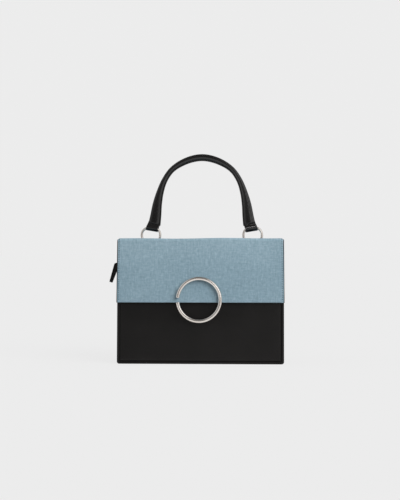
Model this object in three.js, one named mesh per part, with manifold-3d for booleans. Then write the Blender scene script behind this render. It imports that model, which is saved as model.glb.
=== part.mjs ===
// Small structured top-handle bag. A black leather body with a zipped top is covered by a denim flap
// that folds over from the back. An open ring sits on the flap, and a rolled handle stands on two D-rings.
// Millimetres, +Z up, +X to the right, +Y away from the viewer. The origin is the middle of the base.

import * as THREE from "three";
import { mergeVertices } from "three/addons/utils/BufferGeometryUtils.js";
import Module from "manifold-3d";

const wasm = await Module();
wasm.setup();

// Clearance between pieces that touch on the real bag
const GAP = 0.3;

// Body box: the front and back panels lean in towards the top
const BODY = { width: 210, height: 154.2, baseDepth: 84, topDepth: 66, corner: 3, wall: 2.2, bulge: 1.8 };

// Side gussets: channels whose flanges are sewn to the panels, with a web that bows inwards
const GUSSET = { flange: 3.2, thickness: 1.6, bow: 2.5, top: 118 };

// Base: lap is how far it reaches under the gussets' webs
const BASE = { lap: 0.4 };

// Zip strips and zip: drop is how far the top lies below the panels' upper edges
const ZIP = { drop: 6.2, corner: 9, slotHalf: 4.2, tapeHalf: 11, tape: 0.8, teethHalf: 2.6, proud: 0.3 };

// Slider on the left side: a plate over the teeth, and a tongue that ends in a bar inside the pull's fold
const SLIDER = {
  level: 123.5, length: 12, width: 8, height: 2.4,
  reach: 5.1, tongueWidth: 3, tongue: 1.4, bar: 1.9, barLength: 6.4,
};

// Pull: a leather strip folded over the bar, thinner towards its end, with a slot for the tongue
const PULL = { length: 23.3, width: 9, fold: 3.7, thickness: 3.6, corner: 2, tilt: 18.6 };

// Flap: a denim layer over a facing, draped over both upper edges with a sag between them
const FLAP = {
  frontEdge: 76.9, backEdge: 120, facing: 1.1, denim: 1.4, clear: 0.6, rimGap: 0.8, foldRadius: 0.8,
  topHalf: 105.0, edgeHalf: 105.6, sag: 5.4, wave: 0.5, waveLength: 130, blend: 30,
  droop: 2.0, droopWidth: 4.5,
};

// Open ring on the front of the flap: angles are measured from +X, anticlockwise from the front
const RING = {
  x: -1.4, z: 80.7, radius: 26.7, wire: 4.8, standOff: 0.9, start: 187.7, end: 533.2, post: 2.6,
  postAngles: [58, 122],
};

// D-rings: an arch of a given power at the top, 2 being an ellipse, with a straight bar held by a keeper
const DRING = { x: 65.5, half: 11.8, arch: 10.1, power: 2.4, wire: 3, centreRise: 7.6, corner: 6.5 };

// Keepers: short strips over the bars
const KEEPER = { width: 9.4, thickness: 1.3, halfLength: 11, play: 0.5 };

// Handle: arch rows from an end to the crown, as heights above the bar's axis
const HANDLE_ROWS = [
  { x: 61.2, rise: 20.6, width: 15.8, depth: 4.6 },
  { x: 59.5, rise: 32.3, width: 14.4, depth: 4.9 },
  { x: 57.5, rise: 47.8, width: 12.1, depth: 5.6 },
  { x: 54.0, rise: 63.4, width: 9.4, depth: 6.4 },
  { x: 48.2, rise: 79.0, width: 7.6, depth: 7.0 },
  { x: 39.4, rise: 92.0, width: 7.4, depth: 7.2 },
  { x: 24.5, rise: 102.2, width: 8.5, depth: 7.2 },
  { x: 0.0, rise: 108.4, width: 9.1, depth: 7.2 },
];
const HANDLE = { lean: 4, loopTilt: 10, loopInset: 1.8, loopRadius: 4.7, loopLength: 15.4, roundness: 2.6 };

// Facet counts
const FACETS = {
  corner: 4, panelAcross: 10, panelUp: 7, panelCorner: 3, webAcross: 6, gussetUp: 8,
  zipSide: 2, zipCorner: 5, zipAcross: 4,
  fold: 3, hangFront: 5, hangBack: 3, valley: 10, flapAcross: 8, flapEnd: 3,
  wire: 8, ring: 40, dRing: 14, keeperTail: 4, keeperArch: 8,
  handleAlong: 32, handleAround: 12, loop: 16,
};

// Derived sizes
const LEAN = Math.atan((BODY.baseDepth - BODY.topDepth) / 2 / BODY.height);
const FLAP_STACK = FLAP.facing + GAP + FLAP.denim;
const RIM_INSIDE = BODY.topDepth / 2 - BODY.wall - GAP - GUSSET.thickness - GAP;
const FOLD = {
  y: -(BODY.topDepth / 2 + FLAP.clear - FLAP.foldRadius),
  z: BODY.height + FLAP.rimGap - FLAP.foldRadius,
};
const BAR_LEVEL = valleyTop(0) + GAP + DRING.wire / 2;

const material = (color, roughness, metalness) =>
  new THREE.MeshStandardMaterial({ color, roughness, metalness });
const LEATHER = material(0x17181b, 0.45, 0);
const DENIM = material(0x8ba3b4, 0.9, 0);
const FACING = material(0x202227, 0.7, 0);
const TAPE = material(0x141416, 0.8, 0);
const STEEL = material(0xc9ccd0, 0.18, 1);

const radians = THREE.MathUtils.degToRad;
const lerp = THREE.MathUtils.lerp;
const smoothstep = THREE.MathUtils.smoothstep;

// Evenly spaced values from one end to the other, both ends included
function spread(from, to, steps) {
  return Array.from({ length: steps + 1 }, (_, index) => lerp(from, to, index / steps));
}

// Half of the body's depth at a height
function halfDepth(z) {
  return lerp(BODY.baseDepth, BODY.topDepth, z / BODY.height) / 2;
}

// Depth at which the gusset flanges lie, just inside the panels
function flangeDepth(z) {
  return halfDepth(z) - BODY.wall - GAP;
}

// Outward crown of the panels and of the flap over them
function bulge(x, z) {
  const across = Math.cos((Math.PI / 2) * Math.min(1, Math.abs(x) / (BODY.width / 2)));
  const up = Math.sin(Math.PI * THREE.MathUtils.clamp(z / BODY.height, 0, 1));
  return BODY.bulge * across * up;
}

// Lower face of the flap between the two upper edges
function valley(y) {
  const level = BODY.height + FLAP.rimGap;
  const phase = Math.min(1, Math.abs(y) / RIM_INSIDE);
  return level - (FLAP.sag / 2) * (1 + Math.cos(Math.PI * phase));
}

// Slope of that face
function valleySlope(y) {
  if (Math.abs(y) >= RIM_INSIDE) {
    return 0;
  }
  return ((FLAP.sag / 2) * Math.PI) / RIM_INSIDE * Math.sin((Math.PI * y) / RIM_INSIDE);
}

// Upper face of the flap between the two upper edges
function valleyTop(y) {
  return valley(y) + FLAP_STACK * Math.hypot(1, valleySlope(y));
}

// Mesh geometry from points and triangles, turned so that its faces point out
function solid(points, triangles) {
  const edge = new THREE.Vector3();
  let volume = 0;
  for (const [a, b, c] of triangles) {
    volume += edge.crossVectors(points[a], points[b]).dot(points[c]);
  }
  const order = volume > 0 ? triangles : triangles.map(([a, b, c]) => [a, c, b]);
  const geometry = new THREE.BufferGeometry().setFromPoints(points);
  geometry.setIndex(order.flat());
  return geometry;
}

// Closed wall between two grids of points of the same size
function wall(outer, inner) {
  const rows = outer.length;
  const columns = outer[0].length;
  const points = [...outer.flat(), ...inner.flat()];
  const at = (side, row, column) => side * rows * columns + row * columns + column;
  const triangles = [];
  const quad = (a, b, c, d) => triangles.push([a, b, c], [a, c, d]);
  for (let row = 0; row + 1 < rows; row += 1) {
    for (let column = 0; column + 1 < columns; column += 1) {
      quad(at(0, row, column), at(0, row, column + 1), at(0, row + 1, column + 1), at(0, row + 1, column));
      quad(at(1, row, column), at(1, row + 1, column), at(1, row + 1, column + 1), at(1, row, column + 1));
    }
    const last = columns - 1;
    quad(at(0, row, 0), at(0, row + 1, 0), at(1, row + 1, 0), at(1, row, 0));
    quad(at(0, row, last), at(1, row, last), at(1, row + 1, last), at(0, row + 1, last));
  }
  for (let column = 0; column + 1 < columns; column += 1) {
    const last = rows - 1;
    quad(at(0, 0, column), at(1, 0, column), at(1, 0, column + 1), at(0, 0, column + 1));
    quad(at(0, last, column), at(0, last, column + 1), at(1, last, column + 1), at(1, last, column));
  }
  return solid(points, triangles);
}

// Closed skin over rings of points: a loop without ends, or a bar with flat ends
function skin(rings, loop) {
  const sides = rings[0].length;
  const points = rings.flat();
  const triangles = [];
  const spans = loop ? rings.length : rings.length - 1;
  for (let row = 0; row < spans; row += 1) {
    const next = (row + 1) % rings.length;
    for (let side = 0; side < sides; side += 1) {
      const beside = (side + 1) % sides;
      const [a, b] = [row * sides + side, row * sides + beside];
      const [c, d] = [next * sides + beside, next * sides + side];
      triangles.push([a, b, c], [a, c, d]);
    }
  }
  if (!loop) {
    const foot = points.length;
    points.push(centre(rings[0]), centre(rings.at(-1)));
    for (let side = 0; side < sides; side += 1) {
      const beside = (side + 1) % sides;
      const base = (rings.length - 1) * sides;
      triangles.push([foot, beside, side], [foot + 1, base + side, base + beside]);
    }
  }
  return solid(points, triangles);
}

// Mean of a ring's points
function centre(ring) {
  const sum = ring.reduce((total, point) => total.add(point), new THREE.Vector3());
  return sum.divideScalar(ring.length);
}

// Round wire around a closed path in the XZ plane
function wireLoop(path, radius) {
  const rings = path.map((point, index) => {
    const before = path.at(index - 1);
    const after = path[(index + 1) % path.length];
    const along = after.clone().sub(before).normalize();
    const across = new THREE.Vector3(along.z, 0, -along.x);
    return Array.from({ length: FACETS.wire }, (_, side) => {
      const angle = (2 * Math.PI * side) / FACETS.wire;
      const ring = point.clone().addScaledVector(across, radius * Math.cos(angle));
      ring.y += radius * Math.sin(angle);
      return ring;
    });
  });
  return skin(rings, true);
}

// Boolean solids
function toManifold(geometry) {
  const bare = geometry.clone();
  bare.deleteAttribute("normal");
  bare.deleteAttribute("uv");
  const merged = mergeVertices(bare, 1e-4);
  return new wasm.Manifold(new wasm.Mesh({
    numProp: 3,
    vertProperties: new Float32Array(merged.attributes.position.array),
    triVerts: new Uint32Array(merged.index.array),
  }));
}

function fromManifold(body) {
  const mesh = body.getMesh();
  const geometry = new THREE.BufferGeometry();
  geometry.setAttribute("position", new THREE.BufferAttribute(mesh.vertProperties, 3));
  geometry.setIndex(new THREE.BufferAttribute(mesh.triVerts, 1));
  return geometry;
}

function join(geometries) {
  return fromManifold(geometries.map(toManifold).reduce((whole, piece) => whole.add(piece)));
}

function common(first, second) {
  return fromManifold(toManifold(first).intersect(toManifold(second)));
}

function cut(geometry, tools) {
  const whole = toManifold(geometry);
  return fromManifold(tools.map(toManifold).reduce((rest, tool) => rest.subtract(tool), whole));
}

// Heights of a panel's rows, close together over the rounded corners
function panelRows() {
  const arc = spread(0, 90, FACETS.panelCorner).map((angle) => BODY.corner * (1 - Math.cos(radians(angle))));
  const middle = spread(BODY.corner, BODY.height - BODY.corner, FACETS.panelUp).slice(1, -1);
  return [...arc, ...middle, ...arc.map((rise) => BODY.height - rise).reverse()];
}

// Half of a panel's width at a height
function panelHalf(z) {
  const fromEnd = Math.min(z, BODY.height - z, BODY.corner);
  const short = BODY.corner - fromEnd;
  return BODY.width / 2 - BODY.corner + Math.sqrt(BODY.corner ** 2 - short ** 2);
}

// Front panel for side -1, back panel for side 1
function panel(side) {
  const face = (inset) => panelRows().map((z) => spread(-1, 1, FACETS.panelAcross).map((u) => {
    const x = u * panelHalf(z);
    return new THREE.Vector3(x, side * (halfDepth(z) + bulge(x, z) - inset), z);
  }));
  return wall(face(0), face(BODY.wall));
}

// Flat base between the panels
function basePanel() {
  const x = BODY.width / 2 - GUSSET.flange - GUSSET.thickness + BASE.lap;
  const y = flangeDepth(BODY.wall);
  const shape = new THREE.Shape();
  shape.moveTo(-x + BODY.corner, -y);
  shape.lineTo(x - BODY.corner, -y);
  shape.absarc(x - BODY.corner, -y + BODY.corner, BODY.corner, -Math.PI / 2, 0);
  shape.absarc(x - BODY.corner, y - BODY.corner, BODY.corner, 0, Math.PI / 2);
  shape.absarc(-x + BODY.corner, y - BODY.corner, BODY.corner, Math.PI / 2, Math.PI);
  shape.absarc(-x + BODY.corner, -y + BODY.corner, BODY.corner, Math.PI, 1.5 * Math.PI);
  const flat = { depth: BODY.wall, bevelEnabled: false, curveSegments: FACETS.corner };
  return new THREE.ExtrudeGeometry(shape, flat);
}

// Side gusset: flange, bowed web and flange, swept up the side
function sideGusset(side) {
  const web = spread(-1, 1, FACETS.webAcross);
  const rows = spread(BODY.wall + GAP, GUSSET.top, FACETS.gussetUp);
  const skinOf = (sink) => rows.map((z) => {
    const depth = flangeDepth(z) - GUSSET.thickness + sink;
    const bow = GUSSET.bow * Math.sin((Math.PI * z) / GUSSET.top);
    const place = (inset, share) =>
      new THREE.Vector3(side * (BODY.width / 2 - inset), share * depth, z);
    const across = web.map((share) => place(GUSSET.flange + sink + bow * (1 - share ** 2), share));
    const tip = 2 * GAP;
    return [place(tip, -1), ...across, place(tip, 1)];
  });
  return wall(skinOf(0), skinOf(GUSSET.thickness));
}

// Path up the left side, over the top and down the right side, at a distance inside the outline
function overTop(inset, drop, corner) {
  const half = BODY.width / 2 - inset;
  const top = BODY.height - drop;
  const foot = GUSSET.top + GAP;
  const leftSide = spread(foot, top - corner, FACETS.zipSide).map((z) => ({ x: -half, z }));
  const leftArc = spread(180, 90, FACETS.zipCorner).slice(1).map((angle) => ({
    x: -half + corner + corner * Math.cos(radians(angle)),
    z: top - corner + corner * Math.sin(radians(angle)),
  }));
  const across = spread(-half + corner, half - corner, FACETS.zipAcross).slice(1, -1)
    .map((x) => ({ x, z: top }));
  const mirrored = [...leftSide, ...leftArc].map(({ x, z }) => ({ x: -x, z })).reverse();
  return [...leftSide, ...leftArc, ...across, ...mirrored];
}

// The same path at a depth below the strips' outer face
function zipPath(sink) {
  return overTop(GUSSET.flange + sink, ZIP.drop + sink, ZIP.corner - sink);
}

// Leather strip on one side of the zip: flange at the panel, web up to the slot
function zipStrip(side) {
  const rim = overTop(2 * GAP, GAP, BODY.corner);
  const skinOf = (sink) => zipPath(sink).map(({ x, z }, index) => {
    const tip = rim[index];
    const depth = (level) => flangeDepth(level) - GUSSET.thickness + sink;
    return [
      new THREE.Vector3(tip.x, side * depth(tip.z), tip.z),
      new THREE.Vector3(x, side * depth(z), z),
      new THREE.Vector3(x, (side * (depth(z) + ZIP.slotHalf)) / 2, z),
      new THREE.Vector3(x, side * ZIP.slotHalf, z),
    ];
  });
  return wall(skinOf(0), skinOf(GUSSET.thickness));
}

// Zip: a flat tape under the strips with the row of closed teeth standing up in the slot
function zipTape() {
  const tapeTop = GUSSET.thickness + GAP;
  const stations = [
    { y: -ZIP.tapeHalf, sink: tapeTop },
    { y: -ZIP.teethHalf - GAP, sink: tapeTop },
    { y: -ZIP.teethHalf, sink: -ZIP.proud },
    { y: ZIP.teethHalf, sink: -ZIP.proud },
    { y: ZIP.teethHalf + GAP, sink: tapeTop },
    { y: ZIP.tapeHalf, sink: tapeTop },
  ];
  const columns = stations.map(({ y, sink }) => (
    zipPath(sink).map(({ x, z }) => new THREE.Vector3(x, y, z))
  ));
  const below = zipPath(tapeTop + ZIP.tape);
  const rows = below.map((_, index) => columns.map((column) => column[index]));
  const under = below.map(({ x, z }) => stations.map(({ y }) => new THREE.Vector3(x, y, z)));
  return wall(rows, under);
}

// Outer face of the slider, and the middle of its bar
const SLIDER_FACE = -(BODY.width / 2 - GUSSET.flange + ZIP.proud + GAP + SLIDER.height);
const SLIDER_BAR = { x: SLIDER_FACE - SLIDER.reach, z: SLIDER.level };

// Arc in the XZ plane, from one angle to another
class FlatArc extends THREE.Curve {
  constructor(x, z, radius, from, to) {
    super();
    Object.assign(this, { x, z, radius, from, to });
  }

  getPoint(t, target = new THREE.Vector3()) {
    const angle = radians(lerp(this.from, this.to, t));
    return target.set(this.x + this.radius * Math.cos(angle), 0, this.z + this.radius * Math.sin(angle));
  }
}

// Round wire along an open curve
function wire(curve, diameter, steps) {
  const section = new THREE.Shape(
    spread(0, 2 * Math.PI, FACETS.wire).slice(0, -1).map(
      (angle) => new THREE.Vector2(diameter / 2 * Math.cos(angle), diameter / 2 * Math.sin(angle)),
    ),
  );
  return new THREE.ExtrudeGeometry(section, { steps, extrudePath: curve });
}

// Tongue from inside the slider's plate to the bar, and the bar, both wider by a play all round
function tongueAndBar(play) {
  const length = SLIDER.reach + SLIDER.height / 2;
  const tongue = new THREE.BoxGeometry(length, SLIDER.tongueWidth + 2 * play, SLIDER.tongue + 2 * play);
  tongue.translate(SLIDER_BAR.x + length / 2, 0, SLIDER_BAR.z);
  const radius = SLIDER.bar / 2 + play;
  const bar = new THREE.CylinderGeometry(radius, radius, SLIDER.barLength + 2 * play, FACETS.loop);
  bar.translate(SLIDER_BAR.x, 0, SLIDER_BAR.z);
  return [tongue, bar];
}

// Slider: a plate over the teeth with the tongue and its bar
function zipSlider() {
  const plate = new THREE.BoxGeometry(SLIDER.height, SLIDER.width, SLIDER.length);
  plate.translate(SLIDER_FACE + SLIDER.height / 2, 0, SLIDER.level);
  return join([plate, ...tongueAndBar(0)]);
}

// Plate with round lower corners, hanging from the origin along -Z with its faces towards +X and -X
function hangingPlate(width, length, thickness, above, corner) {
  const half = width / 2;
  const shape = new THREE.Shape();
  shape.moveTo(-half, above);
  shape.lineTo(-half, -length + corner);
  shape.absarc(-half + corner, -length + corner, corner, Math.PI, 1.5 * Math.PI);
  shape.absarc(half - corner, -length + corner, corner, 1.5 * Math.PI, 2 * Math.PI);
  shape.lineTo(half, above);
  const flat = { depth: thickness, bevelEnabled: false, curveSegments: FACETS.corner };
  const plate = new THREE.ExtrudeGeometry(shape, flat);
  plate.translate(0, 0, -thickness / 2);
  plate.rotateX(Math.PI / 2);
  plate.rotateZ(Math.PI / 2);
  return plate;
}

// Pull: the folded strip about the bar, tilted out from the bag. The blank is thicker than the fold
// and only rounds the lower corners.
function zipPull() {
  const half = PULL.thickness / 2;
  const taper = Math.asin((PULL.fold - half) / PULL.length);
  const profile = new THREE.Shape();
  profile.moveTo(-half, -PULL.length);
  profile.lineTo(half, -PULL.length);
  profile.absarc(0, 0, PULL.fold, -taper, Math.PI + taper);
  const along = { depth: PULL.width, bevelEnabled: false, curveSegments: FACETS.loop };
  const strip = new THREE.ExtrudeGeometry(profile, along);
  strip.rotateX(Math.PI / 2);
  strip.translate(0, PULL.width / 2, 0);
  const blank = hangingPlate(PULL.width, PULL.length, 4 * PULL.fold, 2 * PULL.fold, PULL.corner);
  const pull = common(strip, blank);
  pull.rotateY(radians(PULL.tilt));
  pull.translate(SLIDER_BAR.x, 0, SLIDER_BAR.z);
  return cut(pull, tongueAndBar(GAP));
}

// Profile of the flap's lower face in the YZ plane with its outward normals, from the front edge to the
// back. The lift says how far a station takes part in the wave of the fold.
function flapProfile() {
  const turn = spread(180 - THREE.MathUtils.radToDeg(LEAN), 90, FACETS.fold);
  const fold = turn.map((angle) => ({
    y: FOLD.y + FLAP.foldRadius * Math.cos(radians(angle)),
    z: FOLD.z + FLAP.foldRadius * Math.sin(radians(angle)),
    ny: Math.cos(radians(angle)),
    nz: Math.sin(radians(angle)),
    lift: 1,
  }));
  const hang = (edge, steps) => spread(edge, fold[0].z, steps).slice(0, -1).map((z) => ({
    y: fold[0].y - (fold[0].z - z) * Math.tan(LEAN),
    z,
    ny: fold[0].ny,
    nz: fold[0].nz,
    lift: smoothstep(z, fold[0].z - FLAP.blend, fold[0].z),
  }));
  const dip = spread(-RIM_INSIDE, RIM_INSIDE, FACETS.valley).map((y) => {
    const slope = valleySlope(y);
    const norm = Math.hypot(1, slope);
    return { y, z: valley(y), ny: -slope / norm, nz: 1 / norm, lift: 1 };
  });
  const mirrored = (stations) => stations.map((s) => ({ ...s, y: -s.y, ny: -s.ny })).reverse();
  const front = hang(FLAP.frontEdge, FACETS.hangFront);
  const back = mirrored(hang(FLAP.backEdge, FACETS.hangBack));
  return [...front, ...fold, ...dip, ...mirrored(fold), ...back];
}

// Distances across the flap from -1 to 1, close together at the drooping ends
function flapColumns() {
  const end = spread(1, 1 - FLAP.droopWidth / FLAP.topHalf, FACETS.flapEnd);
  const middle = spread(-end.at(-1), end.at(-1), FACETS.flapAcross).slice(1, -1);
  return [...end.map((u) => -u), ...middle, ...end.reverse()];
}

// Rise of the flap's fold across the bag: a shallow wave, and the droop over the rounded corners
function flapLift(u) {
  const x = u * FLAP.topHalf;
  const wave = FLAP.wave * Math.sin((2 * Math.PI * x) / FLAP.waveLength) * Math.cos((Math.PI / 2) * u);
  const past = Math.max(0, Math.abs(x) - (FLAP.topHalf - FLAP.droopWidth)) / FLAP.droopWidth;
  return wave - FLAP.droop * past ** 2;
}

// Layer of the flap between two distances above the profile
function flapLayer(low, high) {
  const top = FOLD.z + FLAP.foldRadius;
  const face = (rise) => flapProfile().map(({ y, z, ny, nz, lift }) => flapColumns().map((u) => {
    const down = THREE.MathUtils.clamp((top - z) / (top - FLAP.frontEdge), 0, 1);
    const half = lerp(FLAP.topHalf, FLAP.edgeHalf, down);
    const hangs = Math.abs(y) >= -FOLD.y;
    const crown = hangs ? Math.sign(y) * bulge(u * half, z) : 0;
    return new THREE.Vector3(u * half, y + ny * rise + crown, z + nz * rise + lift * flapLift(u));
  }));
  return wall(face(high), face(low));
}

// Front face of the flap at a place on its hanging part
function flapFront(x, z) {
  return -(halfDepth(z) + FLAP.clear + FLAP_STACK / Math.cos(LEAN) + bulge(x, z));
}

// Open ring, parallel to the leaning front, with posts that reach back to the flap
function frontRing() {
  const ring = wire(new FlatArc(0, 0, RING.radius, RING.start, RING.end), RING.wire, FACETS.ring);
  const centreY = flapFront(RING.x, RING.z) - RING.standOff - RING.wire / 2;
  const posts = RING.postAngles.map((angle) => {
    const x = RING.radius * Math.cos(radians(angle));
    const z = RING.radius * Math.sin(radians(angle));
    const reach = flapFront(RING.x + x, RING.z + z) - GAP - centreY - z * Math.tan(LEAN);
    const post = new THREE.CylinderGeometry(RING.post / 2, RING.post / 2, reach, FACETS.wire);
    post.translate(x, reach / 2, z);
    return post;
  });
  const whole = join([ring, ...posts]);
  whole.rotateX(-LEAN);
  whole.translate(RING.x, centreY, RING.z);
  return whole;
}

// Closed path of a D-ring above the middle of its bar
function dRingPath() {
  const bend = (value) => Math.sign(value) * Math.abs(value) ** (2 / DRING.power);
  const arch = spread(0, 180, FACETS.dRing).map((angle) => new THREE.Vector3(
    DRING.half * bend(Math.cos(radians(angle))),
    0,
    DRING.centreRise + DRING.arch * bend(Math.sin(radians(angle))),
  ));
  const corner = (x, from, to) => spread(from, to, FACETS.corner).map((angle) => new THREE.Vector3(
    x + DRING.corner * Math.cos(radians(angle)),
    0,
    DRING.corner + DRING.corner * Math.sin(radians(angle)),
  ));
  const bar = DRING.half - DRING.corner;
  return [...arch, ...corner(-bar, 180, 270), ...corner(bar, 270, 360)];
}

// Height of a D-ring's arch at a distance from its middle
function dRingRise(x) {
  const share = 1 - (x / DRING.half) ** DRING.power;
  return DRING.centreRise + DRING.arch * share ** (1 / DRING.power);
}

// Keeper: a strip along the flap's top that arches over the bar
function keeper() {
  const half = KEEPER.width / 2;
  const face = (rise) => {
    const radius = DRING.wire / 2 + KEEPER.play + rise;
    const floor = (y) => ({ y, z: valleyTop(y) + GAP + rise });
    const tail = spread(-KEEPER.halfLength, -radius, FACETS.keeperTail).map(floor);
    const arch = spread(180, 0, FACETS.keeperArch).map((angle) => ({
      y: radius * Math.cos(radians(angle)),
      z: BAR_LEVEL + radius * Math.sin(radians(angle)),
    }));
    const mirrored = tail.map(({ y, z }) => ({ y: -y, z })).reverse();
    const line = [...tail, ...arch, ...mirrored];
    return line.map(({ y, z }) => [-half, half].map((x) => new THREE.Vector3(x, y, z)));
  };
  return wall(face(KEEPER.thickness), face(0));
}

// Handle about the bars' axis: a tapering arch whose ends carry the loops round the D-rings
function handleStrap() {
  const mirrored = HANDLE_ROWS.slice(0, -1).reverse().map((row) => ({ ...row, x: -row.x }));
  const rows = [...HANDLE_ROWS, ...mirrored];
  const curve = new THREE.CatmullRomCurve3(rows.map(({ x, rise }) => new THREE.Vector3(x, 0, rise)));
  const between = (t, column) => {
    const place = Math.min(t * (rows.length - 1), rows.length - 1.000001);
    const index = Math.floor(place);
    return lerp(rows[index][column], rows[index + 1][column], place - index);
  };
  const power = (value) => Math.sign(value) * Math.abs(value) ** (2 / HANDLE.roundness);
  const rings = spread(0, 1, FACETS.handleAlong).map((t) => {
    const along = curve.getTangent(t);
    const across = new THREE.Vector3(along.z, 0, -along.x);
    const [halfWidth, halfDeep] = [between(t, "width") / 2, between(t, "depth") / 2];
    return Array.from({ length: FACETS.handleAround }, (_, side) => {
      const angle = (2 * Math.PI * side) / FACETS.handleAround;
      const point = curve.getPoint(t).addScaledVector(across, halfWidth * power(Math.cos(angle)));
      point.y += halfDeep * power(Math.sin(angle));
      return point;
    });
  });
  const arch = skin(rings, false);
  const tilt = radians(HANDLE.loopTilt);
  const loops = [-1, 1].map((side) => {
    const { loopRadius, loopLength, loopInset } = HANDLE;
    const loop = new THREE.CylinderGeometry(loopRadius, loopRadius, loopLength, FACETS.loop);
    loop.rotateZ(Math.PI / 2);
    loop.rotateY(side * tilt);
    loop.translate(side * (DRING.x - loopInset), 0, dRingRise(loopInset));
    return loop;
  });
  const bores = [-1, 1].map((side) => {
    const bore = wireLoop(dRingPath(), DRING.wire / 2 + GAP);
    bore.translate(side * DRING.x, 0, 0);
    return bore;
  });
  return cut(join([arch, ...loops]), bores);
}

// Assembly
const bag = new THREE.Group();

function add(parent, name, geometry, finish) {
  const mesh = new THREE.Mesh(geometry, finish);
  mesh.name = name;
  parent.add(mesh);
  return mesh;
}

add(bag, "front_panel", panel(-1), LEATHER);
add(bag, "back_panel", panel(1), LEATHER);
add(bag, "base_panel", basePanel(), LEATHER);
add(bag, "side_gusset_left", sideGusset(-1), LEATHER);
add(bag, "side_gusset_right", sideGusset(1), LEATHER);
add(bag, "zip_strip_front", zipStrip(-1), LEATHER);
add(bag, "zip_strip_back", zipStrip(1), LEATHER);
add(bag, "zip_tape", zipTape(), TAPE);
add(bag, "zip_slider", zipSlider(), STEEL);
add(bag, "zip_pull", zipPull(), LEATHER);
add(bag, "flap_facing", flapLayer(0, FLAP.facing), FACING);
add(bag, "flap", flapLayer(FLAP.facing + GAP, FLAP_STACK), DENIM);
add(bag, "front_ring", frontRing(), STEEL);

// The handle and its rings turn together about the bars
const swing = new THREE.Group();
swing.position.set(0, 0, BAR_LEVEL);
swing.rotation.x = -radians(HANDLE.lean);
bag.add(swing);
add(swing, "handle", handleStrap(), LEATHER);
for (const [name, side] of [["left", -1], ["right", 1]]) {
  add(bag, `ring_keeper_${name}`, keeper(), LEATHER).position.x = side * DRING.x;
  add(swing, `d_ring_${name}`, wireLoop(dRingPath(), DRING.wire / 2), STEEL).position.x = side * DRING.x;
}

export default bag;
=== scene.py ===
# Looks of the top-handle flap bag: leather, denim, thread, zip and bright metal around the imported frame.
# Sizes are in millimetres, and a mesh is scaled to metres when it is made.

import functools
import math

import bpy
import numpy as np
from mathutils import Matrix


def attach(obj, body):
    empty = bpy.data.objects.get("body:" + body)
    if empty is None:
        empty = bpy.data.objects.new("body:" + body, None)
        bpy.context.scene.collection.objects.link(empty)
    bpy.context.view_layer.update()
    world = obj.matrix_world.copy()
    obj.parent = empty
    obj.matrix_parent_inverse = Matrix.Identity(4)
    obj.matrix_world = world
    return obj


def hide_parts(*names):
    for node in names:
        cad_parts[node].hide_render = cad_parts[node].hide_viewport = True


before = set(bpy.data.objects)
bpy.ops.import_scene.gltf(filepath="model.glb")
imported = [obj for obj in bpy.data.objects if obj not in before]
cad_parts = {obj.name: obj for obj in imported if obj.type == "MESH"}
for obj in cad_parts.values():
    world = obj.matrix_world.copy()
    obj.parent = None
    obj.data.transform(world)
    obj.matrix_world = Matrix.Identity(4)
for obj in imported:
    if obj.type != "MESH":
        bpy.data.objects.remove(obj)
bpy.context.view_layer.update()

MM = 0.001
GAP = 0.3

# Body box: the front and back panels lean in towards the top
WIDTH, HEIGHT = 210.0, 154.2
BASE_DEPTH, TOP_DEPTH = 84.0, 66.0
CORNER, WALL, BULGE = 3.0, 2.2, 1.8
LEAN = math.atan((BASE_DEPTH - TOP_DEPTH) / 2 / HEIGHT)

# Seam round each panel: distance from the edge, depth, half width and corner of its groove, and the swell
# inside it
SEAM_INSET, SEAM_DEPTH, SEAM_HALF, SEAM_CORNER = 3.6, 1.1, 0.8, 1.6
SWELL, SWELL_REACH = 0.8, 5.0

# Unevenness of the hide: height, lengths and phase of its waves, and how far in it begins and is full
HIDE_RISE, HIDE_WAVES, HIDE_PHASE, HIDE_FADE = 0.05, (17.0, 23.0, 13.0), 1.3, (4.0, 20.0)

# Grid of a panel: width and spacing of its fine margin, and steps up and across the rest
MARGIN, MARGIN_STEP, PANEL_ROWS, PANEL_COLUMNS = 8.0, 0.3, 70, 90

# Hollow that the flap's edge presses into the front panel: depth, and where it begins, is full and ends
PRESS, PRESS_LOW, PRESS_FULL, PRESS_HIGH = 2.2, 48.0, 82.0, 120.0

# Base: how far it reaches under the gussets
BASE_LAP = 0.4

# Gussets: bends, the crease down the middle, and seams in from the flanges' edges, the top and its ends
GUSSET_FLANGE, GUSSET_THICK, GUSSET_BOW, GUSSET_TOP = 3.2, 1.6, 2.5, 118.0
GUSSET_BEND, CREASE, CREASE_HALF = 2.2, 0.35, 2.5
FLANGE_SEAM, TOP_SEAM, TOP_SEAM_END = 1.9, 3.0, 4.0

# Zip: bends and seams of the strips, steps up a side, round a corner and over the top, tape, teeth, and the
# slider with its tongue and bar
ZIP_BEND, ZIP_SEAM, ZIP_STEPS = 2.0, 2.2, (8, 10, 50)
ZIP_DROP, ZIP_CORNER, ZIP_SLOT, ZIP_TAPE_HALF, ZIP_TAPE = 6.2, 9.0, 4.2, 11.0, 0.8
TEETH_HALF, TEETH_PROUD, TEETH_PITCH = 2.6, 0.3, 1.9
TOOTH_WIDE, TOOTH_LONG = 1.15, 3.5
SLIDER_LEVEL, SLIDER_LENGTH, SLIDER_WIDTH, SLIDER_THICK = 123.5, 12.0, 8.0, 2.4
SLIDER_ROUND, SLIDER_CORNER, SLIDER_SIDE, SLIDER_NARROW, SLIDER_TAPER = 1.1, 2.4, 0.28, 0.82, 0.7
SLIDER_FACE = -(WIDTH / 2 - GUSSET_FLANGE + TEETH_PROUD + GAP + SLIDER_THICK)
TONGUE_REACH, TONGUE_WIDTH, TONGUE_THICK = 5.1, 3.0, 1.4
BAR_WIRE, BAR_LENGTH = 1.9, 6.4
SLIDER_BAR = np.array([SLIDER_FACE - TONGUE_REACH, 0, SLIDER_LEVEL])

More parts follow.
